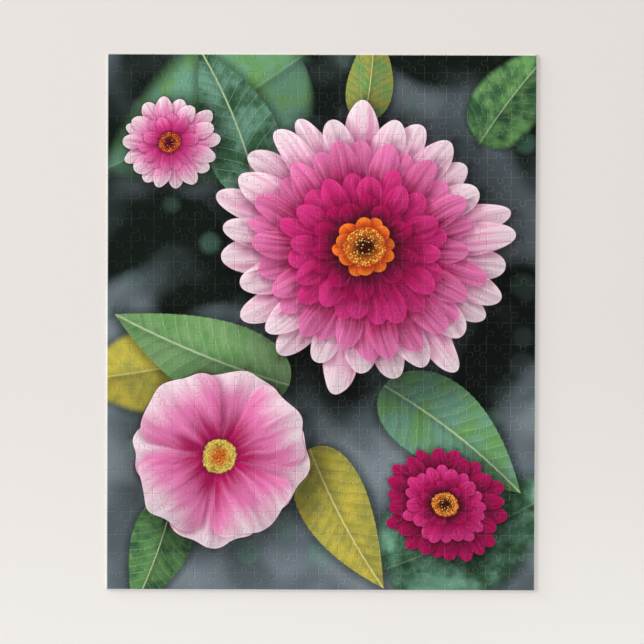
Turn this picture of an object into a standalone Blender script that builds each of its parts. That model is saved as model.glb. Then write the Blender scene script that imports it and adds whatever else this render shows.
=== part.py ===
"""Jigsaw puzzle, put together and lying face up: 20 pieces across by 26 down.

Metres, +Z up. The printed face points up, the picture's top edge lies at +Y, and the origin
is the middle of the underside. The sheet is built as interlocking sections of 5 by 2 pieces,
whose outlines follow the real cut with its knobs.
"""
import random

import bmesh
import bpy
from mathutils import Vector

MM = 0.001

# The cut sheet, in millimetres: a 16 by 20 inch sheet of 2 mm board
BOARD_THICKNESS = 2.0
COLUMN_WIDTHS = (23.0, 21.6, 19.0, 20.2, 19.0, 19.0, 18.9, 20.5, 18.9, 21.2,
                 19.0, 19.2, 19.4, 20.6, 20.8, 20.6, 20.2, 19.0, 22.6, 23.7)
ROW_HEIGHTS = (17.7, 19.8, 21.6, 17.7, 20.8, 18.6, 21.2, 19.4, 20.8, 19.6, 21.3, 20.0, 15.6,
               20.5, 20.6, 19.7, 19.5, 20.4, 21.4, 19.5, 21.2, 17.3, 21.6, 18.0, 18.0, 16.2)
CUT_GAP = 0.3

# One knob of the cut, in millimetres: along the seam, and out from it
KNOB_OUTLINE = ((-1.8, 0.8), (-2.9, 4.3), (-1.5, 6.5), (1.5, 6.5), (2.9, 4.3), (1.8, 0.8))
KNOB_CELL = 20.0
KNOB_SCALE_RANGE = (0.94, 1.04)
KNOB_SMALLEST = 0.8
KNOB_SLIDE = 0.04
KNOB_LEAN = 0.09
CORNER_WANDER = 0.4
CUT_SEED = 2026

# Pieces in one section
SECTION_COLUMNS = 5
SECTION_ROWS = 2

# The print's main areas: centre and radius in millimetres, and colour
BLOSSOMS = (
    ((50.0, 74.0), 132.0, (0.62, 0.12, 0.30)),
    ((-94.0, -122.0), 86.0, (0.72, 0.36, 0.50)),
    ((122.0, -172.0), 56.0, (0.40, 0.03, 0.12)),
    ((-142.0, 172.0), 46.0, (0.70, 0.24, 0.42)),
)
LEAF_COLOURS = ((0.10, 0.22, 0.10), (0.20, 0.30, 0.13), (0.30, 0.29, 0.08))
GROUND_COLOURS = ((0.11, 0.14, 0.16), (0.06, 0.09, 0.08))
PRINT_ROUGHNESS = 0.42


def clear_scene():
    for item in list(bpy.data.objects):
        bpy.data.objects.remove(item, do_unlink=True)


def cut_lines(steps, direction):
    """Places of the grid lines, from one edge of the sheet to the other.

    The two edges lie half a cut gap further out, which the inset of every outline takes back.
    """
    lines = [-direction * sum(steps) / 2]
    for step in steps:
        lines.append(lines[-1] + direction * step)
    lines[0] -= direction * CUT_GAP / 2
    lines[-1] += direction * CUT_GAP / 2
    return lines


def knob(start, end, side, scale, slide, lean):
    """The points of one knob on the seam from start to end, out to its left for side +1."""
    along = (end - start).normalized()
    out = Vector((-along.y, along.x)) * side
    middle = start.lerp(end, 0.5 + slide)
    points = []
    for across, height in KNOB_OUTLINE:
        leaned = across + lean * height
        points.append(middle + along * leaned * scale + out * height * scale)
    return points


class Cut:
    """The whole press cut: grid corners that wander a little, and a knob on every inner seam."""

    def __init__(self):
        draw = random.Random(CUT_SEED)
        self.columns = len(COLUMN_WIDTHS)
        self.rows = len(ROW_HEIGHTS)
        self.corners = {}
        for i, x in enumerate(cut_lines(COLUMN_WIDTHS, 1)):
            for j, y in enumerate(cut_lines(ROW_HEIGHTS, -1)):
                shift_x = draw.uniform(-CORNER_WANDER, CORNER_WANDER) * (0 < i < self.columns)
                shift_y = draw.uniform(-CORNER_WANDER, CORNER_WANDER) * (0 < j < self.rows)
                self.corners[i, j] = Vector((x + shift_x, y + shift_y))
        self.across = {}
        for j in range(self.rows + 1):
            beside = ROW_HEIGHTS[max(j - 1, 0):j + 1]
            for i in range(self.columns):
                ends = self.corners[i, j], self.corners[i + 1, j]
                self.across[i, j] = self.seam(draw, ends, beside)
        self.down = {}
        for i in range(self.columns + 1):
            beside = COLUMN_WIDTHS[max(i - 1, 0):i + 1]
            for j in range(self.rows):
                ends = self.corners[i, j], self.corners[i, j + 1]
                self.down[i, j] = self.seam(draw, ends, beside)

    @staticmethod
    def seam(draw, ends, beside):
        """One seam's points, from its first corner up to but without its last.

        The pieces beside it are that wide, and one alone means the sheet's straight edge.
        """
        start, end = ends
        if len(beside) < 2:
            return [start]
        tight = min(beside)
        side = draw.choice((-1, 1))
        fit = min(1.0, max(KNOB_SMALLEST, tight / KNOB_CELL))
        scale = fit * draw.uniform(*KNOB_SCALE_RANGE)
        slide = draw.uniform(-KNOB_SLIDE, KNOB_SLIDE)
        lean = draw.uniform(-KNOB_LEAN, KNOB_LEAN)
        return [start] + knob(start, end, side, scale, slide, lean)

    def outline(self, left, top, columns, rows):
        """The closed outline of a block of pieces, counterclockwise seen from above."""
        right = left + columns
        bottom = top + rows
        points = []
        for j in range(top, bottom):
            points += self.down[left, j]
        for i in range(left, right):
            points += self.across[i, bottom]
        for j in reversed(range(top, bottom)):
            points += self.backwards(self.down[right, j], self.corners[right, j + 1])
        for i in reversed(range(left, right)):
            points += self.backwards(self.across[i, top], self.corners[i + 1, top])
        return points

    @staticmethod
    def backwards(seam_points, last_corner):
        return [last_corner] + seam_points[:0:-1]


def inset(points, distance):
    """The outline moved inwards by one distance all round, with mitred corners."""
    moved = []
    for index, point in enumerate(points):
        before = (point - points[index - 1]).normalized()
        after = (points[(index + 1) % len(points)] - point).normalized()
        inward_before = Vector((-before.y, before.x))
        inward_after = Vector((-after.y, after.x))
        bisector = (inward_before + inward_after).normalized()
        moved.append(point + bisector * distance / bisector.dot(inward_after))
    return moved


def section_colour(centre, draw):
    """The print's main colour at one place of the sheet."""
    for place, radius, colour in BLOSSOMS:
        if (centre - Vector(place)).length < radius:
            return colour
    return draw.choice(LEAF_COLOURS + GROUND_COLOURS)


def section_material(name, colour):
    material = bpy.data.materials.new(name)
    material.use_nodes = True
    shader = material.node_tree.nodes["Principled BSDF"]
    shader.inputs["Base Color"].default_value = (*colour, 1.0)
    shader.inputs["Roughness"].default_value = PRINT_ROUGHNESS
    shader.inputs["Metallic"].default_value = 0.0
    return material


def build_section(name, outline, colour):
    """A slab of board with the given outline, its underside at height zero."""
    centre = sum(outline, Vector((0.0, 0.0))) / len(outline)
    shape = bmesh.new()
    corners = [shape.verts.new(((x - centre.x) * MM, (y - centre.y) * MM, 0.0)) for x, y in outline]
    underside = shape.faces.new(reversed(corners))
    grown = bmesh.ops.extrude_face_region(shape, geom=[underside], use_keep_orig=True)
    raised = [item for item in grown["geom"] if isinstance(item, bmesh.types.BMVert)]
    bmesh.ops.translate(shape, verts=raised, vec=(0.0, 0.0, BOARD_THICKNESS * MM))
    bmesh.ops.recalc_face_normals(shape, faces=shape.faces)
    mesh = bpy.data.meshes.new(name)
    shape.to_mesh(mesh)
    shape.free()
    mesh.materials.append(section_material(name, colour))
    section = bpy.data.objects.new(name, mesh)
    section.location = (centre.x * MM, centre.y * MM, 0.0)
    bpy.context.scene.collection.objects.link(section)
    return section


def main():
    clear_scene()
    cut = Cut()
    draw = random.Random(CUT_SEED + 1)
    for top in range(0, cut.rows, SECTION_ROWS):
        for left in range(0, cut.columns, SECTION_COLUMNS):
            outline = inset(cut.outline(left, top, SECTION_COLUMNS, SECTION_ROWS), CUT_GAP / 2)
            name = f"section_{top // SECTION_ROWS + 1:02d}_{left // SECTION_COLUMNS + 1}"
            centre = sum(outline, Vector((0.0, 0.0))) / len(outline)
            build_section(name, outline, section_colour(centre, draw))


main()
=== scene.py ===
"""Looks of the jigsaw puzzle: 520 press-cut pieces with rolled edges and a printed face.

Metres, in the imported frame. Each section of 5 by 2 pieces gives way to ten separate pieces in
one object, cut by the same rule with finer curves. The print, a garden of blossoms and leaves,
is drawn by shader nodes in millimetres on the sheet, and a section's material holds only the
motifs that reach it.
"""
import math
import random
from dataclasses import dataclass

import bpy
import numpy as np
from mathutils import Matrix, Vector


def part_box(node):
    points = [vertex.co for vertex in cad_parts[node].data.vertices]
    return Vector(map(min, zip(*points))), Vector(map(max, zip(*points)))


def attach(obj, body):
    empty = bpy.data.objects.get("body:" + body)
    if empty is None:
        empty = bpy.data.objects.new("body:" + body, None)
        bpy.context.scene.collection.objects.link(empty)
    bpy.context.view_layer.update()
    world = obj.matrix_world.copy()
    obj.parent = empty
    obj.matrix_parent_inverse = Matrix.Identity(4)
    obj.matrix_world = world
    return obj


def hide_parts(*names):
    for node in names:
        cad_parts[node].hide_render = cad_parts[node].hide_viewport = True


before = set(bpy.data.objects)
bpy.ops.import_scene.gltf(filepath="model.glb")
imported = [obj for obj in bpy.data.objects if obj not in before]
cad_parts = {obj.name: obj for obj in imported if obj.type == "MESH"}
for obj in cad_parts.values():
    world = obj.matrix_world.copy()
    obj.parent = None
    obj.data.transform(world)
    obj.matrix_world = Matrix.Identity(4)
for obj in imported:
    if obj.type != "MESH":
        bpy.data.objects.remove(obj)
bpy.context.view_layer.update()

MM = 0.001

# The cut, in millimetres: the grid's steps, and a knob's points along its seam and out from it
COLUMN_WIDTHS = (23.0, 21.6, 19.0, 20.2, 19.0, 19.0, 18.9, 20.5, 18.9, 21.2,
                 19.0, 19.2, 19.4, 20.6, 20.8, 20.6, 20.2, 19.0, 22.6, 23.7)
ROW_HEIGHTS = (17.7, 19.8, 21.6, 17.7, 20.8, 18.6, 21.2, 19.4, 20.8, 19.6, 21.3, 20.0, 15.6,
               20.5, 20.6, 19.7, 19.5, 20.4, 21.4, 19.5, 21.2, 17.3, 21.6, 18.0, 18.0, 16.2)
KNOB_OUTLINE = ((-3.1, 0.05), (-1.8, 1.4), (-2.8, 4.2), (-1.4, 6.3),
                (1.4, 6.3), (2.8, 4.2), (1.8, 1.4), (3.1, 0.05))
KNOB_CELL = 20.0
CORNER_WANDER = 0.4
SHEET_WIDTH = sum(COLUMN_WIDTHS)
SHEET_LENGTH = sum(ROW_HEIGHTS)

# How a knob varies: its scale, the least of it in a narrow cell, its slide and its lean, as shares
KNOB_SCALE_RANGE = (0.94, 1.04)
KNOB_SMALLEST = 0.8
KNOB_SLIDE = 0.04
KNOB_LEAN = 0.09
CUT_SEED = 2026

# Pieces in one section, and points on one stretch of a seam, by the knob and beside it
SECTION_COLUMNS = 5
SECTION_ROWS = 2
CURVE_STEPS = 4
STRAIGHT_STEPS = 2

# A piece's edge, in millimetres: the paper rolls down over the cut, and the back is chamfered
CUT_GAP = 0.05
BOARD_THICKNESS = 1.96
PAPER_THICKNESS = 0.12
ROLL_WIDTH = 0.68
ROLL_DROP = 0.5
BACK_CHAMFER = 0.1

# Bands in the roll, the turn in degrees that keeps a corner sharp, and a piece's greatest slope
ROLL_STEPS = 3
CORNER_TURN = 50.0
PIECE_TILT = 0.003
PIECE_SEED = 41


# The cut

def cut_lines(steps, direction):
    """Places of the grid lines, half a cut gap further out at the sheet's two edges."""
    lines = [-direction * sum(steps) / 2]
    for step in steps:
        lines.append(lines[-1] + direction * step)
    lines[0] -= direction * CUT_GAP / 2
    lines[-1] += direction * CUT_GAP / 2
    return lines


def knob(start, end, side, scale, slide, lean):
    """The points of one knob on the seam from start to end, out to its left for side +1."""
    along = (end - start).normalized()
    out = Vector((-along.y, along.x)) * side
    middle = start.lerp(end, 0.5 + slide)
    points = []
    for across, height in KNOB_OUTLINE:
        leaned = across + lean * height
        points.append(middle + along * leaned * scale + out * height * scale)
    return points


def spline(points):
    """Points along a centripetal curve through the given ones, the last one left out."""
    ends = [points[0] * 2 - points[1]] + points + [points[-1] * 2 - points[-2]]
    spans = [STRAIGHT_STEPS] + [CURVE_STEPS] * (len(points) - 3) + [STRAIGHT_STEPS]
    curve = []
    for steps, p0, p1, p2, p3 in zip(spans, ends, ends[1:], ends[2:], ends[3:]):
        t1 = math.sqrt((p1 - p0).length)
        t2 = t1 + math.sqrt((p2 - p1).length)
        t3 = t2 + math.sqrt((p3 - p2).length)
        for step in range(steps):
            t = t1 + (t2 - t1) * step / steps
            a1 = p0.lerp(p1, t / t1)
            a2 = p1.lerp(p2, (t - t1) / (t2 - t1))
            a3 = p2.lerp(p3, (t - t2) / (t3 - t2))
            b1 = a1.lerp(a2, t / t2)
            b2 = a2.lerp(a3, (t - t1) / (t3 - t1))
            curve.append(b1.lerp(b2, (t - t1) / (t2 - t1)))
    return curve


class Cut:
    """The whole press cut: grid corners that wander a little, and a knob on every inner seam."""

    def __init__(self):
        draw = random.Random(CUT_SEED)
        self.columns = len(COLUMN_WIDTHS)
        self.rows = len(ROW_HEIGHTS)
        self.corners = {}
        for i, x in enumerate(cut_lines(COLUMN_WIDTHS, 1)):
            for j, y in enumerate(cut_lines(ROW_HEIGHTS, -1)):
                shift_x = draw.uniform(-CORNER_WANDER, CORNER_WANDER) * (0 < i < self.columns)
                shift_y = draw.uniform(-CORNER_WANDER, CORNER_WANDER) * (0 < j < self.rows)
                self.corners[i, j] = Vector((x + shift_x, y + shift_y))
        self.across = {}
        for j in range(self.rows + 1):
            beside = ROW_HEIGHTS[max(j - 1, 0):j + 1]
            for i in range(self.columns):
                ends = self.corners[i, j], self.corners[i + 1, j]
                self.across[i, j] = self.seam(draw, ends, beside)
        self.down = {}
        for i in range(self.columns + 1):
            beside = COLUMN_WIDTHS[max(i - 1, 0):i + 1]
            for j in range(self.rows):
                ends = self.corners[i, j], self.corners[i, j + 1]
                self.down[i, j] = self.seam(draw, ends, beside)

    @staticmethod
    def seam(draw, ends, beside):
        """One seam's points, from its first corner up to but without its last."""
        start, end = ends
        if len(beside) < 2:
            return [start]
        tight = min(beside)
        side = draw.choice((-1, 1))
        fit = min(1.0, max(KNOB_SMALLEST, tight / KNOB_CELL))
        scale = fit * draw.uniform(*KNOB_SCALE_RANGE)
        slide = draw.uniform(-KNOB_SLIDE, KNOB_SLIDE)
        lean = draw.uniform(-KNOB_LEAN, KNOB_LEAN)
        return spline([start, *knob(start, end, side, scale, slide, lean), end])

    def piece(self, i, j):
        """The closed outline of one piece, counterclockwise seen from above."""
        left = self.down[i, j]
        near = self.across[i, j + 1]
        right = [self.corners[i + 1, j + 1]] + self.down[i + 1, j][:0:-1]
        far = [self.corners[i + 1, j]] + self.across[i, j][:0:-1]
        return np.array([tuple(point) for point in left + near + right + far])


# The pieces

def outward(points):
    """Unit directions out of a counterclockwise outline at its points, and the mitre there."""
    before = points - np.roll(points, 1, axis=0)
    before /= np.linalg.norm(before, axis=1, keepdims=True)
    after = np.roll(before, -1, axis=0)
    out_before = np.stack((before[:, 1], -before[:, 0]), axis=1)
    out_after = np.stack((after[:, 1], -after[:, 0]), axis=1)
    middle = out_before + out_after
    middle /= np.linalg.norm(middle, axis=1, keepdims=True)
    mitre = 1.0 / (middle * out_after).sum(axis=1, keepdims=True)
    return middle, mitre


def facing(points, out):
    """Where each side of an outline faces at its two ends, rounded except at sharp corners."""
    along = np.roll(points, -1, axis=0) - points
    along /= np.linalg.norm(along, axis=1, keepdims=True)
    square = np.stack((along[:, 1], -along[:, 0]), axis=1)
    gentle = math.cos(math.radians(CORNER_TURN / 2))
    return [np.where((end * square).sum(axis=1, keepdims=True) > gentle, end, square)
            for end in (out, np.roll(out, -1, axis=0))]


@dataclass
class Ring:
    """One ring round a piece: how far in from the cut, how high, where it faces, and how near the cut
    it lies on the roll, which sets its wear and painted highlight.
    """
    inset: float
    height: float
    lean_out: float
    lean_up: float
    rim: float


def edge_rings():
    """A piece's edge from its underside up: a small chamfer, the cut wall, the rolled paper."""
    slant = math.sqrt(0.5)
    rings = [Ring(BACK_CHAMFER, 0.0, slant, -slant, 0.0),
             Ring(0.0, BACK_CHAMFER, slant, -slant, 0.0)]
    for step in range(ROLL_STEPS + 1):
        turn = step / ROLL_STEPS * math.pi / 2
        inset = ROLL_WIDTH * (1 - math.cos(turn))
        height = BOARD_THICKNESS - ROLL_DROP * (1 - math.sin(turn))
        lean_out = ROLL_DROP * math.cos(turn)
        lean_up = ROLL_WIDTH * math.sin(turn)
        size = math.hypot(lean_out, lean_up)
        rings.append(Ring(inset, height, lean_out / size, lean_up / size, 1 - inset / ROLL_WIDTH))
    return rings


FACE, BOARD, BACK = 0, 1, 2
RINGS = edge_rings()


class Builder:
    """Collects closed pieces into one mesh, with its materials and normals face by face."""

    def __init__(self):
        self.points = []
        self.rims = []
        self.faces = []
        self.looks = []
        self.normals = []

    def add_piece(self, outline, tilt):
        """One piece, thicker or thinner by the tilt's share for each millimetre from its middle."""
        first = len(self.points)
        count = len(outline)
        out, mitre = outward(outline)
        middle = outline.mean(axis=0)
        for ring in RINGS:
            flat = outline - out * mitre * (CUT_GAP / 2 + ring.inset)
            slope = 1 + (flat - middle) @ tilt
            height = ring.height * slope
            self.points += np.column_stack((flat, height)).tolist()
            self.rims += [ring.rim] * count
        self.add_lid(range(first + count - 1, first - 1, -1), BACK, (0.0, 0.0, -1.0))
        up = Vector((-tilt[0] * BOARD_THICKNESS, -tilt[1] * BOARD_THICKNESS, 1.0)).normalized()
        top = first + count * (len(RINGS) - 1)
        self.add_lid(range(top, top + count), FACE, tuple(up))
        walls = [BACK, BOARD] + [FACE] * ROLL_STEPS
        sides = facing(outline, out)
        for level, look in enumerate(walls):
            self.add_band(first + level * count, count, look, sides, level)

    def add_lid(self, corners, look, normal):
        self.faces.append(list(corners))
        self.looks.append(look)
        self.normals += [normal] * len(corners)

    def add_band(self, first, count, look, sides, level):
        """The quads between one ring and the next, with the slopes that shade them."""
        low, high = RINGS[level], RINGS[level + 1]
        if look == BOARD:
            slopes = (1.0, 0.0), (1.0, 0.0)
        elif look == BACK:
            slopes = (low.lean_out, low.lean_up), (low.lean_out, low.lean_up)
        else:
            slopes = (low.lean_out, low.lean_up), (high.lean_out, high.lean_up)
        for index in range(count):
            following = (index + 1) % count
            self.faces.append([first + index, first + following,
                               first + count + following, first + count + index])
            self.looks.append(look)
            starts, ends = sides[0][index], sides[1][index]
            for (x, y), (lean_out, lean_up) in zip((starts, ends, ends, starts),
                                                   (slopes[0], slopes[0], slopes[1], slopes[1])):
                self.normals.append((x * lean_out, y * lean_out, lean_up))

    def finish(self, name, materials):
        mesh = bpy.data.meshes.new(name)
        mesh.from_pydata([(x * MM, y * MM, z * MM) for x, y, z in self.points], [], self.faces)
        for material in materials:
            mesh.materials.append(material)
        mesh.polygons.foreach_set("material_index", self.looks)
        rim = mesh.attributes.new("rim", "FLOAT", "POINT")
        rim.data.foreach_set("value", self.rims)
        mesh.shade_smooth()
        mesh.normals_split_custom_set(self.normals)
        piece = bpy.data.objects.new(name, mesh)
        bpy.context.scene.collection.objects.link(piece)
        return piece


# Shader nodes written as sums

def srgb(red, green, blue):
    """A colour given as it looks on a screen, 0 to 255, turned into linear light."""
    return tuple((value / 255) ** 2.2 for value in (red, green, blue)) + (1.0,)


class Field:
    """A value that varies over a surface. Arithmetic on it adds nodes to its tree."""

    def __init__(self, tree, socket):
        self.tree = tree
        self.socket = socket

    def math(self, operation, *others):
        node = self.tree.nodes.new("ShaderNodeMath")
        node.operation = operation
        for socket, value in zip(node.inputs, (self, *others)):
            feed(socket, value)
        return Field(self.tree, node.outputs[0])

    def __add__(self, other):
        return self.math("ADD", other)

    def __sub__(self, other):
        return self.math("SUBTRACT", other)

    def __rsub__(self, other):
        return self.math("MULTIPLY_ADD", -1.0, other)

    def __mul__(self, other):
        return self.math("MULTIPLY", other)

    def __truediv__(self, other):
        return self.math("DIVIDE", other)

    def __abs__(self):
        return self.math("ABSOLUTE")

    __radd__ = __add__

    def least(self, other):
        return self.math("MINIMUM", other)

    def most(self, other):
        return self.math("MAXIMUM", other)

    def ramp(self, low, high):
        """0 below low, 1 above high, and a smooth step between them."""
        node = self.tree.nodes.new("ShaderNodeMapRange")
        node.interpolation_type = "SMOOTHSTEP"
        feed(node.inputs["Value"], self)
        feed(node.inputs["From Min"], low)
        feed(node.inputs["From Max"], high)
        return Field(self.tree, node.outputs["Result"])

    def scaled(self, factor):
        """A colour or vector times a number."""
        node = self.tree.nodes.new("ShaderNodeVectorMath")
        node.operation = "SCALE"
        feed(node.inputs[0], self)
        feed(node.inputs["Scale"], factor)
        return Field(self.tree, node.outputs[0])

    def split(self):
        node = self.tree.nodes.new("ShaderNodeSeparateXYZ")
        feed(node.inputs[0], self)
        return [Field(self.tree, output) for output in node.outputs]


def feed(socket, value):
    """Links a field into a socket, or sets a plain number or colour on it."""
    if isinstance(value, Field):
        value.tree.links.new(value.socket, socket)
    else:
        socket.default_value = value


def joined(tree, x, y, z=0.0):
    """A place made of three numbers."""
    node = tree.nodes.new("ShaderNodeCombineXYZ")
    for socket, value in zip(node.inputs, (x, y, z)):
        feed(socket, value)
    return Field(tree, node.outputs[0])


def surface_place(tree):
    """The place on a piece's surface, in millimetres."""
    coordinates = tree.nodes.new("ShaderNodeTexCoord")
    return Field(tree, coordinates.outputs["Object"]).scaled(1 / MM)


def noise(tree, place, scale, detail=2.0, roughness=0.5, output="Fac"):
    """Cloudy noise from 0 to 1, its middle at 0.5."""
    node = tree.nodes.new("ShaderNodeTexNoise")
    feed(node.inputs["Vector"], place)
    node.inputs["Scale"].default_value = scale
    node.inputs["Detail"].default_value = detail
    node.inputs["Roughness"].default_value = roughness
    return Field(tree, node.outputs[output])


def cells(tree, place, scale, randomness=1.0):
    """Distance to the nearest of scattered points, and that point's own random colour."""
    node = tree.nodes.new("ShaderNodeTexVoronoi")
    feed(node.inputs["Vector"], place)
    node.inputs["Scale"].default_value = scale
    node.inputs["Randomness"].default_value = randomness
    return Field(tree, node.outputs["Distance"]), Field(tree, node.outputs["Color"])


def multiply_add(tree, first, factors, second):
    """One place times factors, axis by axis, plus another place."""
    node = tree.nodes.new("ShaderNodeVectorMath")
    node.operation = "MULTIPLY_ADD"
    for socket, value in zip(node.inputs, (first, factors, second)):
        feed(socket, value)
    return Field(tree, node.outputs[0])


# A mix node's sockets for colours, which come after those for numbers and vectors
MIX_FACTOR, MIX_FIRST, MIX_SECOND = 0, 6, 7
MIX_RESULT = 2


def mixed(tree, factor, first, second, blend="MIX"):
    """The first colour at factor 0, the second blended over it at factor 1."""
    node = tree.nodes.new("ShaderNodeMix")
    node.data_type = "RGBA"
    node.blend_type = blend
    feed(node.inputs[MIX_FACTOR], factor)
    feed(node.inputs[MIX_FIRST], first)
    feed(node.inputs[MIX_SECOND], second)
    return Field(tree, node.outputs[MIX_RESULT])


def new_group(name, floats, colours):
    """An empty node group that takes a place, numbers and colours, and gives a colour."""
    group = bpy.data.node_groups.new(name, "ShaderNodeTree")
    group.interface.new_socket("Place", in_out="INPUT", socket_type="NodeSocketVector")
    for label in floats:
        group.interface.new_socket(label, in_out="INPUT", socket_type="NodeSocketFloat")
    for label in colours:
        group.interface.new_socket(label, in_out="INPUT", socket_type="NodeSocketColor")
    group.interface.new_socket("Colour", in_out="OUTPUT", socket_type="NodeSocketColor")
    entry = group.nodes.new("NodeGroupInput")
    given = [Field(group, socket) for socket in entry.outputs[:-1]]
    return group, given


def close_group(group, colour):
    """The group with that colour as what it gives."""
    leave = group.nodes.new("NodeGroupOutput")
    feed(leave.inputs[0], colour)
    return group


def use_group(tree, group, *values):
    """The colour that a group gives for these values, in the order of its inputs."""
    node = tree.nodes.new("ShaderNodeGroup")
    node.node_tree = group
    for socket, value in zip(node.inputs, values):
        feed(socket, value)
    return Field(tree, node.outputs[0])


# The print: how each motif is drawn, in shares of the motif's own size

PETAL_SHADE = (0.52, 0.36, 0.44, 1.0)
LEAF_SHADE = (0.42, 0.44, 0.42, 1.0)

# A petal's form: how far it sways and falls short by chance, its frills, the width of its root,
# where it is widest, where its end starts to round off, and its room in the ring
PETAL_SWAY = 0.2
PETAL_SHORTER = 0.14
PETAL_FRILLS = 18.0
PETAL_ROOT = 0.42
PETAL_WIDE_AT = 0.75
PETAL_END_AT = 0.52
PETAL_ROOM = 0.49

# A petal's streaks, across it, along it and from petal to petal, and its colours from the root up
STREAKS_ACROSS = 4.0
STREAKS_ALONG = 1.3
STREAKS_APART = 3.7
STREAK_BLUR = 0.55
ROOT_FADES = (0.2, 0.62)
TIP_FADES = (0.55, 1.02)

# Light on a petal: its cupped sides, lifted tip, crease, own tone, streaks and pale edge
CUP_LIGHT = 0.2
TIP_LIGHT = 0.35
CREASE_WIDTH = 0.16
CREASE_SHADE = 0.12
OWN_TONE = 0.16
STREAK_TONE = 0.5
PALE_EDGE_WIDTH = 0.03
PALE_EDGE = 0.1

# A petal's sharp edge, the shade it casts past it, and how that shade turns from the light
PETAL_EDGE = 0.003
PETAL_SHADE_REACH = 0.085
SHADE_MIDDLE = 0.6
SHADE_TURN = -0.4


def petal_ring_group():
    """A ring of petals over what is under it, round a place where the bloom's radius is 1."""
    group, given = new_group(
        "petal ring",
        ("Petals", "Turn", "Reach", "Breadth", "Notch", "Light across", "Light along", "Seed"),
        ("Under", "Root", "Middle", "Tip"),
    )
    place, petals, turn, reach, breadth, notch, light_x, light_y, seed, under, root, middle, tip = given
    x, y, _ = place.split()
    radius = (x * x + y * y).math("SQRT") + 0.0001

    # Which petal the place falls to, and that petal's own chances
    cell = y.math("ARCTAN2", x) * petals / math.tau + turn
    index = (cell + 0.5).math("FLOOR")
    own = index.math("WRAP", petals, 0.0)
    random_node = group.nodes.new("ShaderNodeTexWhiteNoise")
    random_node.noise_dimensions = "2D"
    feed(random_node.inputs["Vector"], joined(group, own, seed))
    chance_length, chance_turn, chance_tone = Field(group, random_node.outputs["Color"]).split()

    # The petal's outline: u runs from its root to its tip, v from side to side
    aside = (cell - index) - (chance_turn - 0.5) * PETAL_SWAY
    angle = aside * math.tau / petals
    along = radius * angle.math("COSINE")
    across = radius * angle.math("SINE")
    frill = (aside * PETAL_FRILLS).math("COSINE") * notch
    length = reach * (1.0 - chance_length * PETAL_SHORTER) * (1.0 + frill)
    u = along / length
    waist = breadth * (PETAL_ROOT + u.ramp(0.0, PETAL_WIDE_AT) * (1.0 - PETAL_ROOT))
    end = ((u - PETAL_END_AT) / (1.0 - PETAL_END_AT)).most(0.0)
    half_width = waist * (1.0 - end * end * end).most(0.0).math("SQRT")
    v = (across / waist).most(-1.0).least(1.0)
    room = radius * (PETAL_ROOM - PETAL_SWAY / 2) * math.tau / petals
    inside = (half_width.least(room) - abs(across)).least(length - along)

    # Its colours, which run into each other in streaks
    streak_place = joined(group, v * STREAKS_ACROSS, u * STREAKS_ALONG, own * STREAKS_APART + seed)
    streak = noise(group, streak_place, 1.0, 3.0, 0.65)
    fade = u + (streak - 0.5) * STREAK_BLUR
    colour = mixed(group, fade.ramp(*ROOT_FADES), root, middle)
    colour = mixed(group, fade.ramp(*TIP_FADES), colour, tip)

    # The light on it, and the shade it casts on what lies under it
    toward = (x * light_x + y * light_y) / radius
    beside = (x * light_y - y * light_x) / radius
    crease = abs(v).ramp(CREASE_WIDTH, 0.0)
    bright = (1.0
              + beside * v * CUP_LIGHT
              + toward * (u - 0.5) * TIP_LIGHT
              - crease * CREASE_SHADE
              + (chance_tone - 0.5) * OWN_TONE
              + (streak - 0.5) * STREAK_TONE
              + inside.ramp(PALE_EDGE_WIDTH, 0.0) * PALE_EDGE)
    shade_side = (across.math("SIGN") * beside) * SHADE_TURN + SHADE_MIDDLE
    margin = (0.5 - abs(cell - index)) * radius * math.tau / petals
    shade = inside.ramp(-PETAL_SHADE_REACH, 0.004) * shade_side * margin.ramp(0.0, 0.03)
    below = mixed(group, shade, under, PETAL_SHADE, "MULTIPLY")
    mask = inside.ramp(-PETAL_EDGE, PETAL_EDGE)
    return close_group(group, mixed(group, mask, below, colour.scaled(bright)))


# A bloom's heart: its ragged rim, its florets, and the pollen on the outer ones
RIM_SCALE = 9.0
RIM_DEPTH = 0.3
FLORETS = 8.5
FLORET_SHUFFLE = 0.8
HEART_FADES = (0.25, 0.85)
FLORET_LIGHT = 1.25
FLORET_SHADE = 1.1
POLLEN_DOT = (0.42, 0.22)
POLLEN_SHARE = (0.75, 0.85)


def heart_group():
    """A bloom's centre: packed florets with pollen on the outer ones."""
    group, given = new_group("heart", ("Reach", "Seed"), ("Under", "Outer", "Inner", "Pollen"))
    place, reach, seed, under, outer, inner, pollen = given
    x, y, _ = place.split()
    radius = (x * x + y * y).math("SQRT") / reach
    ragged = noise(group, joined(group, x * RIM_SCALE, y * RIM_SCALE, seed), 3.0, 2.0)
    inside = 1.0 - radius + (ragged - 0.5) * RIM_DEPTH
    dome = joined(group, x / reach, y / reach, seed)
    distance, chance = cells(group, dome, FLORETS, FLORET_SHUFFLE)
    pick, _, tone = chance.split()
    colour = mixed(group, radius.ramp(*HEART_FADES), inner, outer)
    colour = colour.scaled(FLORET_LIGHT - distance * FLORET_SHADE)
    dots = distance.ramp(*POLLEN_DOT) * (pick + radius * 0.6).ramp(*POLLEN_SHARE)
    colour = mixed(group, dots, colour, pollen.scaled(0.7 + tone * 0.5))
    below = mixed(group, inside.ramp(-0.4, 0.0) * 0.8, under, PETAL_SHADE, "MULTIPLY")
    return close_group(group, mixed(group, inside.ramp(-0.03, 0.03), below, colour))


# A leaf: its fullness and fine teeth, its ribs with their slant, curve, waver and strength, and
# its midrib
LEAF_FULLNESS = 2.6
LEAF_TEETH = 24.0
TEETH_DEPTH = 0.05
RIBS = 13.0
RIB_SLANT = 0.95
RIB_CURVE = 1.3
RIB_WAVER = 0.05
RIB_STAGGER = 0.25
RIB_LINE = (0.44, 0.5)
RIB_STRENGTH = 0.4
MIDRIB = (0.009, 0.002)
BLUR_HIDES = 14.0

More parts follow.
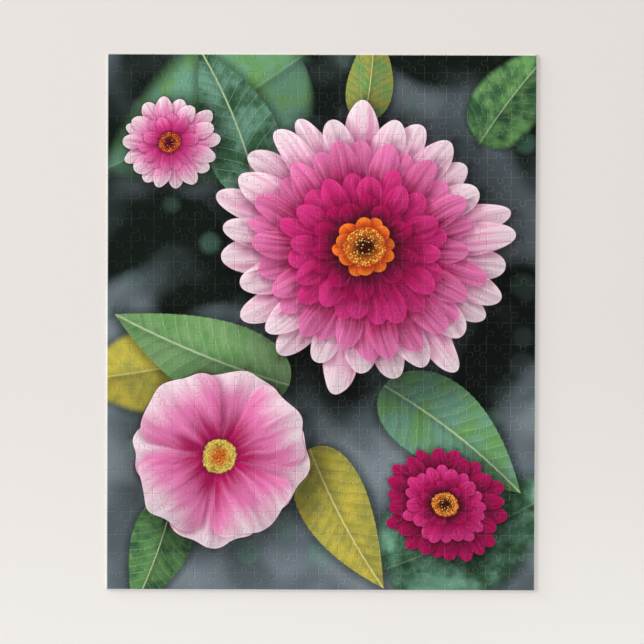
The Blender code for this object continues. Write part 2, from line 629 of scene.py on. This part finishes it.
# A leaf's blotches, and the light on its halves, between its ribs and along its midrib
BLOTCH_FADES = (0.35, 0.68)
BLOTCH_TONE = 0.7
HALF_LIGHT = 0.2
QUILT_LIGHT = 0.08
MIDRIB_SHADE = 0.18
LEAF_SHADE_REACH = 0.08


def leaf_group():
    """A leaf from its stalk at 0 to its tip at 1 along X, over what is under it."""
    group, given = new_group(
        "leaf",
        ("Breadth", "Bend", "Blur", "Light across", "Light along", "Seed"),
        ("Under", "Green", "Second green", "Vein"),
    )
    place, breadth, bend, blur, light_x, light_y, seed, under, green, second, vein = given
    x, y_straight, _ = place.split()

    # The outline, with the leaf bent along its length
    wide = x.most(0.0).least(1.0)
    y = y_straight - bend * wide * (1.0 - wide)
    teeth = ((x * LEAF_TEETH).math("FRACT") - 0.5) * TEETH_DEPTH
    half_width = breadth * wide.math("SQRT") * (1.0 - wide) * (LEAF_FULLNESS + teeth)
    inside = (half_width - abs(y)).least(x).least(1.0 - x)
    side = y.math("SIGN")

    # Blotches, ribs and midrib, which a blurred leaf loses
    blotch = noise(group, joined(group, x * 3.0, y * 3.0, seed), 2.2, 3.0, 0.6)
    slant = x - abs(y) * RIB_SLANT + abs(y) * abs(y) * RIB_CURVE + blotch * RIB_WAVER
    ribs = slant * RIBS + side * RIB_STAGGER
    rib_gap = abs(ribs.math("FRACT") - 0.5)
    quilt = (ribs * math.tau).math("SINE")
    colour = mixed(group, blotch.ramp(*BLOTCH_FADES), green, second)
    crisp = 1.0 - blur * BLUR_HIDES
    lines = rib_gap.ramp(*RIB_LINE) * crisp * RIB_STRENGTH
    midrib = abs(y).ramp(*MIDRIB) * crisp
    colour = mixed(group, lines.most(midrib), colour, vein)

    # The light on it, and the shade it casts on what lies under it
    across_light = side * light_y
    bright = (1.0
              + across_light * HALF_LIGHT
              + quilt * light_x * crisp * QUILT_LIGHT
              + (blotch - 0.5) * BLOTCH_TONE)
    bright = bright - abs(y).ramp(0.05, 0.01) * MIDRIB_SHADE * (1.0 - midrib)
    below = mixed(group, inside.ramp(-LEAF_SHADE_REACH, 0.004), under, LEAF_SHADE, "MULTIPLY")
    mask = inside.ramp(blur * -1.0, blur)
    return close_group(group, mixed(group, mask, below, colour.scaled(bright)))


# How far round a motif's middle it may reach, as a share of a leaf's length or a bloom's radius
LEAF_REACH = 0.62
BLOOM_REACH = 1.3


@dataclass
class Leaf:
    """One leaf: where its stalk is, in millimetres, and where it points, in degrees."""
    stalk: tuple
    angle: float
    length: float
    breadth: float
    bend: float
    blur: float
    greens: tuple
    vein: tuple

    def reach(self):
        """A circle that holds the leaf and its shade."""
        turn = math.radians(self.angle)
        centre = Vector(self.stalk) + Vector((math.cos(turn), math.sin(turn))) * self.length / 2
        return centre, self.length * LEAF_REACH


@dataclass
class Petals:
    """One ring of a bloom, in two rows: the lower one is half a petal round and a little longer."""
    count: int
    reach: float
    breadth: float
    notch: float
    root: tuple
    middle: tuple
    tip: tuple


@dataclass
class Bloom:
    """One bloom: its centre and radius in millimetres, and the way its disc is tipped."""
    centre: tuple
    radius: float
    squash: float
    angle: float
    rings: tuple
    heart: float
    heart_colours: tuple

    def reach(self):
        """A circle that holds the bloom and all but the faint rim of its shadow."""
        return Vector(self.centre), self.radius * BLOOM_REACH


# The print: its colours

DEEP_ROSE = srgb(168, 18, 84)
ROSE = srgb(205, 52, 124)
PINK = srgb(226, 118, 174)
BLUSH = srgb(234, 212, 221)
WINE = srgb(92, 12, 42)
DARK_WINE = srgb(52, 6, 22)
EMBER = srgb(214, 66, 28)
FLAME = srgb(236, 118, 40)
POLLEN = srgb(244, 214, 96)
DARK_HEART = srgb(70, 14, 16)

LEAF_GREEN = srgb(96, 142, 84)
BRIGHT_GREEN = srgb(128, 168, 112)
SEA_GREEN = srgb(108, 156, 132)
DEEP_GREEN = srgb(48, 84, 56)
OLIVE = srgb(158, 156, 72)
STRAW = srgb(186, 170, 66)
PALE_VEIN = srgb(176, 200, 156)
STRAW_VEIN = srgb(212, 204, 132)

SLATE = srgb(104, 116, 124)
PALE_SLATE = srgb(138, 148, 154)
DARK_SLATE = srgb(54, 64, 64)
NIGHT = srgb(16, 26, 21)

# Where the light in the picture comes from
PRINT_LIGHT = Vector((-0.6, 0.8))

# How far a leaf's edge is out of focus
CRISP = 0.003
SOFT = 0.03
SOFTEST = 0.06

LEAVES = (
    Leaf((-20.0, 250.0), -150.0, 210.0, 0.3, 0.10, SOFTEST, (SEA_GREEN, LEAF_GREEN), PALE_VEIN),
    Leaf((60.0, -235.0), 25.0, 190.0, 0.3, -0.10, SOFTEST, (DEEP_GREEN, SEA_GREEN), PALE_VEIN),
    Leaf((-90.0, -30.0), 190.0, 150.0, 0.3, 0.10, SOFT, (OLIVE, STRAW), STRAW_VEIN),
    Leaf((-30.0, -60.0), 158.0, 178.0, 0.22, 0.10, CRISP, (BRIGHT_GREEN, LEAF_GREEN), PALE_VEIN),
    Leaf((-60.0, 120.0), 112.0, 150.0, 0.24, -0.16, CRISP, (SEA_GREEN, DEEP_GREEN), PALE_VEIN),
    Leaf((60.0, -60.0), -38.0, 165.0, 0.24, 0.14, CRISP, (SEA_GREEN, LEAF_GREEN), PALE_VEIN),
    Leaf((-10.0, -120.0), -62.0, 150.0, 0.22, -0.12, CRISP, (OLIVE, STRAW), STRAW_VEIN),
    Leaf((150.0, 170.0), 52.0, 120.0, 0.26, 0.10, SOFT, (DEEP_GREEN, LEAF_GREEN), PALE_VEIN),
    Leaf((-140.0, -170.0), -110.0, 110.0, 0.26, 0.12, CRISP, (LEAF_GREEN, DEEP_GREEN), PALE_VEIN),
    Leaf((40.0, 190.0), 84.0, 92.0, 0.24, -0.10, CRISP, (OLIVE, LEAF_GREEN), STRAW_VEIN),
)

BLOOMS = (
    Bloom((-142.0, 172.0), 52.0, 0.9, 20.0,
          (Petals(9, 1.0, 0.17, 0.0, DEEP_ROSE, PINK, BLUSH),
           Petals(7, 0.6, 0.12, 0.0, WINE, ROSE, PINK)),
          0.2, (EMBER, WINE, POLLEN)),
    Bloom((122.0, -172.0), 64.0, 0.88, -25.0,
          (Petals(12, 1.0, 0.15, 0.0, DARK_WINE, WINE, DEEP_ROSE),
           Petals(10, 0.7, 0.12, 0.0, DARK_WINE, DEEP_ROSE, ROSE),
           Petals(7, 0.42, 0.1, 0.0, DARK_WINE, WINE, DEEP_ROSE)),
          0.2, (FLAME, DARK_HEART, POLLEN)),
    Bloom((-94.0, -122.0), 98.0, 0.94, 35.0,
          (Petals(4, 1.0, 0.46, 0.03, DEEP_ROSE, PINK, BLUSH),),
          0.17, (POLLEN, FLAME, POLLEN)),
    Bloom((50.0, 74.0), 152.0, 0.93, -18.0,
          (Petals(15, 1.0, 0.115, 0.0, DEEP_ROSE, PINK, BLUSH),
           Petals(14, 0.78, 0.1, 0.0, WINE, DEEP_ROSE, PINK),
           Petals(12, 0.56, 0.085, 0.0, DARK_WINE, DEEP_ROSE, ROSE),
           Petals(9, 0.36, 0.07, 0.0, DARK_WINE, WINE, DEEP_ROSE),
           Petals(6, 0.21, 0.055, 0.0, DARK_WINE, EMBER, FLAME)),
          0.13, (FLAME, DARK_HEART, POLLEN)),
)


# The print: the picture put together

# The ground: its dark parts, which gather towards the top, its drifts and its glints. A scale
# counts blotches in a millimetre.
NIGHT_SCALE = 0.0085
NIGHT_RISE = 0.0006
NIGHT_FADES = (0.46, 0.6)
DRIFT_SCALE = 0.018
PALE_DRIFT = (0.42, 0.7)
DARK_DRIFT = (0.55, 0.35)
DRIFT_STRENGTH = 0.5
GLINT_SCALE = 0.03
GLINT_FADES = (0.44, 0.24)
GLINT_SHARE = (0.5, 0.95)
GLINT_STRENGTH = 0.3


def ground(tree, place):
    """Out-of-focus garden behind the blooms: slate and near-black, with soft glints of green."""
    broad = noise(tree, place, NIGHT_SCALE, 1.0, 0.5)
    drift = noise(tree, place, DRIFT_SCALE, 1.0, 0.4)
    _, height, _ = place.split()
    night = (broad + height * NIGHT_RISE).ramp(*NIGHT_FADES)
    colour = mixed(tree, night, SLATE, NIGHT)
    pale = drift.ramp(*PALE_DRIFT) * (1.0 - night) * DRIFT_STRENGTH
    colour = mixed(tree, pale, colour, PALE_SLATE)
    colour = mixed(tree, drift.ramp(*DARK_DRIFT) * DRIFT_STRENGTH, colour, DARK_SLATE)
    distance, chance = cells(tree, place, GLINT_SCALE)
    pick, green, _ = chance.split()
    glints = distance.ramp(*GLINT_FADES) * pick.ramp(*GLINT_SHARE) * GLINT_STRENGTH
    return mixed(tree, glints, colour, mixed(tree, green.ramp(0.4, 0.7), SEA_GREEN, SLATE))


def local_place(tree, place, centre, angle, size_x, size_y):
    """The place seen from a motif: its centre at 0, its X along its angle, its size 1."""
    node = tree.nodes.new("ShaderNodeMapping")
    node.vector_type = "TEXTURE"
    feed(node.inputs["Vector"], place)
    node.inputs["Location"].default_value = (centre[0], centre[1], 0.0)
    node.inputs["Rotation"].default_value = (0.0, 0.0, math.radians(angle))
    node.inputs["Scale"].default_value = (size_x, size_y, 1.0)
    return Field(tree, node.outputs[0])


def local_light(angle):
    """Where the picture's light comes from, seen from a motif turned by that angle."""
    turn = math.radians(-angle)
    return (PRINT_LIGHT.x * math.cos(turn) - PRINT_LIGHT.y * math.sin(turn),
            PRINT_LIGHT.x * math.sin(turn) + PRINT_LIGHT.y * math.cos(turn))


# A bloom's wavy warp, and its shadow's shift, fade and strength, as shares of its radius
WARP_SCALE = 2.3
WARP = 0.09
SHADOW_SHIFT = 0.14
SHADOW_FADES = (1.22, 0.8)
SHADOW_STRENGTH = 0.7

# How each ring of petals turns on the last, in petals, and how much shorter its upper row is
RING_TURN = 0.27
UPPER_SHORTER = 0.04

# Shares of its radius within which a bloom, or the next ring, has no gap that shows what is under
CLOSED_SHARE = 0.7
RING_CLOSED_SHARE = 0.6

# How far past its own reach a ring or a heart may still show
RING_MARGIN = 0.12
HEART_MARGIN = 1.6


class Picture:
    """The printed picture, drawn motif by motif over the ground."""

    def __init__(self):
        self.petal_ring = petal_ring_group()
        self.heart = heart_group()
        self.leaf = leaf_group()

    def draw(self, tree, low, high):
        """The picture's colour in the box from low to high, with the motifs that show there.

        The place's height is the flat face's, so that the picture doesn't waver on rolled edges.
        """
        x, y, _ = surface_place(tree).split()
        place = joined(tree, x, y, BOARD_THICKNESS)
        covering = [seed for seed, bloom in enumerate(BLOOMS) if covers(bloom, low, high)]
        lowest = max(covering, default=-1)
        colour = DARK_WINE
        if not covering:
            colour = ground(tree, place)
            for seed, leaf in enumerate(LEAVES):
                if touches(*leaf.reach(), low, high):
                    colour = self.draw_leaf(tree, place, colour, leaf, seed)
        for seed, bloom in enumerate(BLOOMS):
            if seed >= lowest and touches(*bloom.reach(), low, high):
                colour = self.draw_bloom(tree, place, colour, bloom, seed, low, high)
        return colour

    def draw_leaf(self, tree, place, under, leaf, seed):
        near = local_place(tree, place, leaf.stalk, leaf.angle, leaf.length, leaf.length)
        return use_group(tree, self.leaf, near, leaf.breadth, leaf.bend, leaf.blur,
                         *local_light(leaf.angle), seed * 5.3, under, *leaf.greens, leaf.vein)

    def draw_bloom(self, tree, place, under, bloom, seed, low, high):
        """A bloom with its shadow. Rings that the box can't show are left out."""
        near = local_place(tree, place, bloom.centre, bloom.angle,
                           bloom.radius, bloom.radius * bloom.squash)
        light = local_light(bloom.angle)
        colour = under
        if isinstance(under, Field):
            colour = under.scaled(self.cast_shadow(tree, near, light))
        shift = noise(tree, near, WARP_SCALE, 1.0, 0.5, "Color")
        near = multiply_add(tree, shift, (WARP, WARP, 0.0), near)
        centre = Vector(bloom.centre)
        farthest = farthest_corner(bloom.centre, low, high)
        next_reaches = [ring.reach for ring in bloom.rings[1:]] + [0.0]
        for level, (ring, next_reach) in enumerate(zip(bloom.rings, next_reaches)):
            closed = bloom.radius * bloom.squash * next_reach * RING_CLOSED_SHARE
            hidden = farthest < closed
            reached = touches(centre, bloom.radius * (ring.reach + RING_MARGIN), low, high)
            if reached and not hidden:
                colour = self.draw_ring(tree, near, colour, ring, level, light, seed)
        if not touches(centre, bloom.radius * bloom.heart * HEART_MARGIN, low, high):
            return colour
        return use_group(tree, self.heart, near, bloom.heart, seed, colour, *bloom.heart_colours)

    @staticmethod
    def cast_shadow(tree, near, light):
        """How much light is left on what lies behind a bloom, away from the light."""
        x, y, _ = near.split()
        x = x + light[0] * SHADOW_SHIFT
        y = y + light[1] * SHADOW_SHIFT
        dark = (x * x + y * y).math("SQRT").ramp(*SHADOW_FADES)
        return 1.0 - dark * SHADOW_STRENGTH

    def draw_ring(self, tree, near, under, ring, level, light, seed):
        """A ring's lower row of petals and then its upper one, each with a seed of its own."""
        colour = under
        for row in (1, 0):
            turn = row * 0.5 + level * RING_TURN
            reach = ring.reach * (1.0 - UPPER_SHORTER * (1 - row))
            colour = use_group(tree, self.petal_ring, near, ring.count, turn, reach,
                               ring.breadth, ring.notch, *light, seed * 31 + level * 7 + row * 3,
                               colour, ring.root, ring.middle, ring.tip)
        return colour


def touches(centre, radius, low, high):
    """Whether a circle meets the box from low to high."""
    gap_x = max(low[0] - centre.x, 0.0, centre.x - high[0])
    gap_y = max(low[1] - centre.y, 0.0, centre.y - high[1])
    return math.hypot(gap_x, gap_y) < radius


def farthest_corner(centre, low, high):
    """How far the box's farthest corner is from a place."""
    gap_x = max(abs(low[0] - centre[0]), abs(high[0] - centre[0]))
    gap_y = max(abs(low[1] - centre[1]), abs(high[1] - centre[1]))
    return math.hypot(gap_x, gap_y)


def covers(bloom, low, high):
    """Whether a bloom's closed petals hide all that is behind them in the box."""
    return farthest_corner(bloom.centre, low, high) < bloom.radius * bloom.squash * CLOSED_SHARE


# Materials

PAPER_WHITE = srgb(250, 249, 245)
CHIPBOARD = srgb(146, 143, 137)
PALE_CHIPBOARD = srgb(180, 177, 170)
DARK_FLECK = srgb(98, 94, 90)
PALE_FLECK = srgb(196, 190, 178)
BACKING = srgb(158, 160, 158)
PALE_BACKING = srgb(176, 177, 172)
BACKING_FLECK = srgb(104, 100, 94)
BACKING_FIBRE = srgb(196, 196, 190)

# How far a rolled edge pales, from ink rubbed off and from a painted highlight, at the sheet's left and
# right, and where on the roll that sets in, from 0 at the flat face to 1 at the cut. Scuffs make both
# lines ragged.
WORN_INK_AND_SHEEN = (0.22, 0.28)
WEAR_AND_SHEEN_FADES = (0.1, 0.8)
SCUFF_SCALE = 0.9
SCUFF = 0.3

# The print lies a little off centre and leaves a narrow bare border of paper, in millimetres, widest at
# the left and far edges, where it also stands as a painted highlight of those lit edges
PRINT_SHIFT = 0.6
BORDER_FADES = (0.95, 0.55)
BORDER_BARE_AND_LIT = 0.72

# How rough and glossy the surfaces are, and their fibres, which are so deep in metres
FACE_ROUGHNESS = 0.42
FACE_SPECULAR = 0.45
BOARD_ROUGHNESS = 0.9
BACK_ROUGHNESS = 0.88
FACE_FIBRE_SCALE = 2.6
BACK_FIBRE_SCALE = 1.1
FIBRE_DEPTH = 0.0002

# The board in the cut: its layers, which lie flat, its flecks, and its papers' ragged edges
LAYER_FLATNESS = 2.4
LAYER_SCALE = 1.3
LAYER_FADES = (0.35, 0.65)
FLECK_SCALE = 1.6
FLECK_STRENGTH = 0.55
PAPER_RAGGED = 0.06
LOW_PAPER = (0.17, 0.13)

# The backing paper's clouds and flecks
CLOUD_SCALE = 0.08
BACK_FLECK_SCALE = 0.35
BACK_FLECK_STRENGTH = 0.5


def new_material(name):
    material = bpy.data.materials.new(name)
    material.use_nodes = True
    tree = material.node_tree
    return material, tree, tree.nodes["Principled BSDF"]


def bump(tree, shader, height, strength):
    node = tree.nodes.new("ShaderNodeBump")
    node.inputs["Strength"].default_value = strength
    node.inputs["Distance"].default_value = FIBRE_DEPTH
    feed(node.inputs["Height"], height)
    tree.links.new(node.outputs["Normal"], shader.inputs["Normal"])


def paled_by_wear_and_sheen(tree, colour, wear_and_sheen_share):
    """The print paled towards white by wear of its ink and by a painted highlight, by the given share.
    """
    node = tree.nodes.new("ShaderNodeGamma")
    feed(node.inputs["Color"], colour)
    feed(node.inputs["Gamma"], 1.0 - wear_and_sheen_share)
    return Field(tree, node.outputs[0])


def printed_face(name, picture, low, high):
    """Satin printed paper, its ink paled by wear and a painted highlight where it rolls over the cut,
    with an unprinted paper border that is widest at the left and far edges, where it also stands as a
    painted highlight.
    """
    material, tree, shader = new_material(name)
    colour = picture.draw(tree, low, high)
    place = surface_place(tree)
    attribute = tree.nodes.new("ShaderNodeAttribute")
    attribute.attribute_name = "rim"
    rim = Field(tree, attribute.outputs["Fac"])
    scuff = noise(tree, place, SCUFF_SCALE, 2.0, 0.6)
    x, y, _ = place.split()
    border = (SHEET_WIDTH / 2 - abs(x - PRINT_SHIFT)).least(SHEET_LENGTH / 2 - abs(y + PRINT_SHIFT))
    # Painted highlight and wear: the rolled edges pale towards white, more towards the sheet's right
    wear_and_sheen = (rim + (scuff - 0.5) * SCUFF).ramp(*WEAR_AND_SHEEN_FADES)
    least, most = WORN_INK_AND_SHEEN
    wear_and_sheen_share = wear_and_sheen * (x.ramp(-SHEET_WIDTH / 2, SHEET_WIDTH / 2) * (most - least) + least)
    colour = paled_by_wear_and_sheen(tree, colour, wear_and_sheen_share)
    # Painted highlight: white paper border, widest at the left and far edges, where the light falls
    bare_and_lit_border = (border + (scuff - 0.5) * SCUFF).ramp(*BORDER_FADES) * BORDER_BARE_AND_LIT
    feed(shader.inputs["Base Color"], mixed(tree, bare_and_lit_border, colour, PAPER_WHITE))
    feed(shader.inputs["Roughness"], scuff * 0.1 + FACE_ROUGHNESS - rim * 0.08)
    shader.inputs["Specular IOR Level"].default_value = FACE_SPECULAR
    fibre = noise(tree, place, FACE_FIBRE_SCALE, 3.0, 0.6)
    bump(tree, shader, fibre, 0.12)
    return material


def board_core():
    """Grey chipboard seen in the cut: fibrous, flecked, with the two papers as pale lines."""
    material, tree, shader = new_material("grey_chipboard")
    x, y, z = surface_place(tree).split()
    flat = joined(tree, x, y, z * LAYER_FLATNESS)
    layers = noise(tree, flat, LAYER_SCALE, 4.0, 0.7)
    colour = mixed(tree, layers.ramp(*LAYER_FADES), CHIPBOARD, PALE_CHIPBOARD)
    distance, chance = cells(tree, flat, FLECK_SCALE)
    pick, tone, _ = chance.split()
    flecks = distance.ramp(0.34, 0.12) * pick.ramp(0.6, 0.75) * FLECK_STRENGTH
    colour = mixed(tree, flecks, colour, mixed(tree, tone, DARK_FLECK, PALE_FLECK))
    ragged = z + (layers - 0.5) * PAPER_RAGGED
    lining = BOARD_THICKNESS - ROLL_DROP - PAPER_THICKNESS
    papers = ragged.ramp(lining, lining + 0.04).most(ragged.ramp(*LOW_PAPER) * 0.5)
    colour = mixed(tree, papers * 0.8, colour, PAPER_WHITE)
    feed(shader.inputs["Base Color"], colour)
    shader.inputs["Roughness"].default_value = BOARD_ROUGHNESS
    bump(tree, shader, layers, 0.5)
    return material


def backing_paper():
    """Plain grey backing paper with flecks of recycled fibre."""
    material, tree, shader = new_material("backing_paper")
    place = surface_place(tree)
    cloud = noise(tree, place, CLOUD_SCALE, 3.0, 0.6)
    fibre = noise(tree, place, BACK_FIBRE_SCALE, 4.0, 0.7)
    colour = mixed(tree, cloud.ramp(0.3, 0.7), BACKING, PALE_BACKING)
    distance, chance = cells(tree, place, BACK_FLECK_SCALE)
    pick, _, _ = chance.split()
    flecks = distance.ramp(0.16, 0.05) * pick.ramp(0.72, 0.8) * BACK_FLECK_STRENGTH
    colour = mixed(tree, flecks, colour, BACKING_FLECK)
    colour = mixed(tree, fibre.ramp(0.52, 0.75) * 0.35, colour, BACKING_FIBRE)
    feed(shader.inputs["Base Color"], colour)
    shader.inputs["Roughness"].default_value = BACK_ROUGHNESS
    bump(tree, shader, fibre, 0.35)
    return material


# The puzzle

def build_puzzle():
    """Every section's ten pieces, as one object that stands for the section's solid."""
    cut = Cut()
    draw = random.Random(PIECE_SEED)
    picture = Picture()
    board = board_core()
    back = backing_paper()
    for top in range(0, cut.rows, SECTION_ROWS):
        for left in range(0, cut.columns, SECTION_COLUMNS):
            name = f"{top // SECTION_ROWS + 1:02d}_{left // SECTION_COLUMNS + 1}"
            node = "section_" + name
            builder = Builder()
            for j in range(top, top + SECTION_ROWS):
                for i in range(left, left + SECTION_COLUMNS):
                    slopes = [draw.uniform(-PIECE_TILT, PIECE_TILT) for _ in range(2)]
                    builder.add_piece(cut.piece(i, j), np.array(slopes) / BOARD_THICKNESS)
            low, high = (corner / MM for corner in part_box(node))
            face = printed_face("printed_face_" + name, picture, low, high)
            pieces = builder.finish("pieces_" + name, (face, board, back))
            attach(pieces, "root")
            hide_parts(node)


# Floor, light and camera

# The floor, in metres, just clear of the pieces' backs, and its colours, with painted shade to the
# right and painted light to the left and on the near side
FLOOR_SIZE = 14.0
FLOOR_GAP = 0.0001
FLOOR_ROUGHNESS = 0.85
FLOOR_SHADE_RIGHT = srgb(229, 224, 220)
FLOOR_LIT_LEFT = srgb(236, 231, 228)
FLOOR_LIGHT_POOL = srgb(245, 242, 239)

# Where the lamps stand, in degrees round from +X, their colours, and the sky's
KEY_TURN = 148.0
SIDE_TURN = 174.0
WHITE_LAMP = (1.0, 1.0, 1.0)
WARM_LAMP = (1.0, 0.985, 0.965)
SIDE_LAMP = (1.0, 0.99, 0.98)
LOW_SKY = (0.8, 0.79, 0.775, 1.0)
HIGH_SKY = (0.05, 0.05, 0.05, 1.0)
SKY_SIDE = 0.3

# The camera: the width it sees, its height over the face and where it looks, in metres, its
# sensor in millimetres, and its turns in degrees
VIEW_WIDTH = 0.61
CAMERA_HEIGHT = 1.9
VIEW_CENTRE = (0.0011, 0.0001)
SENSOR = 36.0
VIEW_TILT = -0.7
VIEW_ROLL = 0.2


def build_floor():
    """A pale floor with painted light: painted shade to the right and a painted pool of light towards
    the near side.
    """
    mesh = bpy.data.meshes.new("floor")
    half = FLOOR_SIZE / 2
    corners = [(-half, -half, -FLOOR_GAP), (half, -half, -FLOOR_GAP),
               (half, half, -FLOOR_GAP), (-half, half, -FLOOR_GAP)]
    mesh.from_pydata(corners, [], [(0, 1, 2, 3)])
    material, tree, shader = new_material("pale_floor")
    coordinates = tree.nodes.new("ShaderNodeTexCoord")
    place = Field(tree, coordinates.outputs["Object"])
    x, y, _ = place.split()
    cloud = (noise(tree, place, 1.4, 1.0, 0.5) - 0.5) * 0.2
    # Painted light: darker to the right, lighter to the left, and a painted pool of light on the near
    # side
    colour = mixed(tree, (x + cloud).ramp(0.45, -0.45), FLOOR_SHADE_RIGHT, FLOOR_LIT_LEFT)
    near = (y + cloud).ramp(0.0, -0.42) * y.ramp(-2.4, -0.6)
    feed(shader.inputs["Base Color"], mixed(tree, near, colour, FLOOR_LIGHT_POOL))
    shader.inputs["Roughness"].default_value = FLOOR_ROUGHNESS
    mesh.materials.append(material)
    floor = bpy.data.objects.new("floor", mesh)
    bpy.context.scene.collection.objects.link(floor)


def add_sun(name, turn, height, share, breadth, colour, shines=False):
    """A far lamp: its turn, height and breadth in degrees, and its share of the floor's light.

    Only a lamp that shines shows in the satin print. The others light it without a sheen.
    """
    turn, height = math.radians(turn), math.radians(height)
    sun = bpy.data.lights.new(name, "SUN")
    sun.energy = share * math.pi / math.sin(height)
    sun.angle = math.radians(breadth)
    sun.color = colour
    lamp = bpy.data.objects.new(name, sun)
    lamp.visible_glossy = shines
    flat = math.cos(height)
    toward = Vector((math.cos(turn) * flat, math.sin(turn) * flat, math.sin(height)))
    lamp.rotation_euler = (-toward).to_track_quat("-Z", "Y").to_euler()
    bpy.context.scene.collection.objects.link(lamp)


def light_studio():
    """A broad lamp overhead, two low ones from the far left, one from the left, and a soft sky."""
    add_sun("overhead", KEY_TURN, height=88.0, share=0.4, breadth=30.0, colour=WHITE_LAMP)
    add_sun("key", KEY_TURN, height=18.0, share=0.14, breadth=14.0, colour=WARM_LAMP)
    add_sun("raking", KEY_TURN, height=6.0, share=0.045, breadth=6.0, colour=WARM_LAMP)
    add_sun("side", SIDE_TURN, height=28.0, share=0.08, breadth=12.0, colour=SIDE_LAMP, shines=True)
    add_sky()


def add_sky():
    """A sky that is palest near the floor and on the side of the key lamp."""
    world = bpy.data.worlds.new("studio")
    world.use_nodes = True
    tree = world.node_tree
    direction = Field(tree, tree.nodes.new("ShaderNodeTexCoord").outputs["Generated"])
    x, y, height = direction.split()
    turn = math.radians(KEY_TURN)
    side = x * math.cos(turn) + y * math.sin(turn)
    sky = mixed(tree, height.ramp(0.2, 0.95), LOW_SKY, HIGH_SKY)
    feed(tree.nodes["Background"].inputs["Color"], sky.scaled(1.0 + side * SKY_SIDE))
    bpy.context.scene.world = world
    bpy.context.scene.view_settings.view_transform = "Standard"


def add_camera():
    """A camera that looks almost straight down at the face."""
    data = bpy.data.cameras.new("camera")
    data.sensor_width = SENSOR
    data.lens = SENSOR * CAMERA_HEIGHT / VIEW_WIDTH
    camera = bpy.data.objects.new("camera", data)
    camera.rotation_euler = (math.radians(VIEW_TILT), 0.0, math.radians(VIEW_ROLL))
    back = camera.rotation_euler.to_matrix() @ Vector((0.0, 0.0, 1.0))
    camera.location = Vector((*VIEW_CENTRE, BOARD_THICKNESS * MM)) + back * CAMERA_HEIGHT
    bpy.context.scene.collection.objects.link(camera)
    bpy.context.scene.camera = camera


build_puzzle()
build_floor()
light_studio()
add_camera()
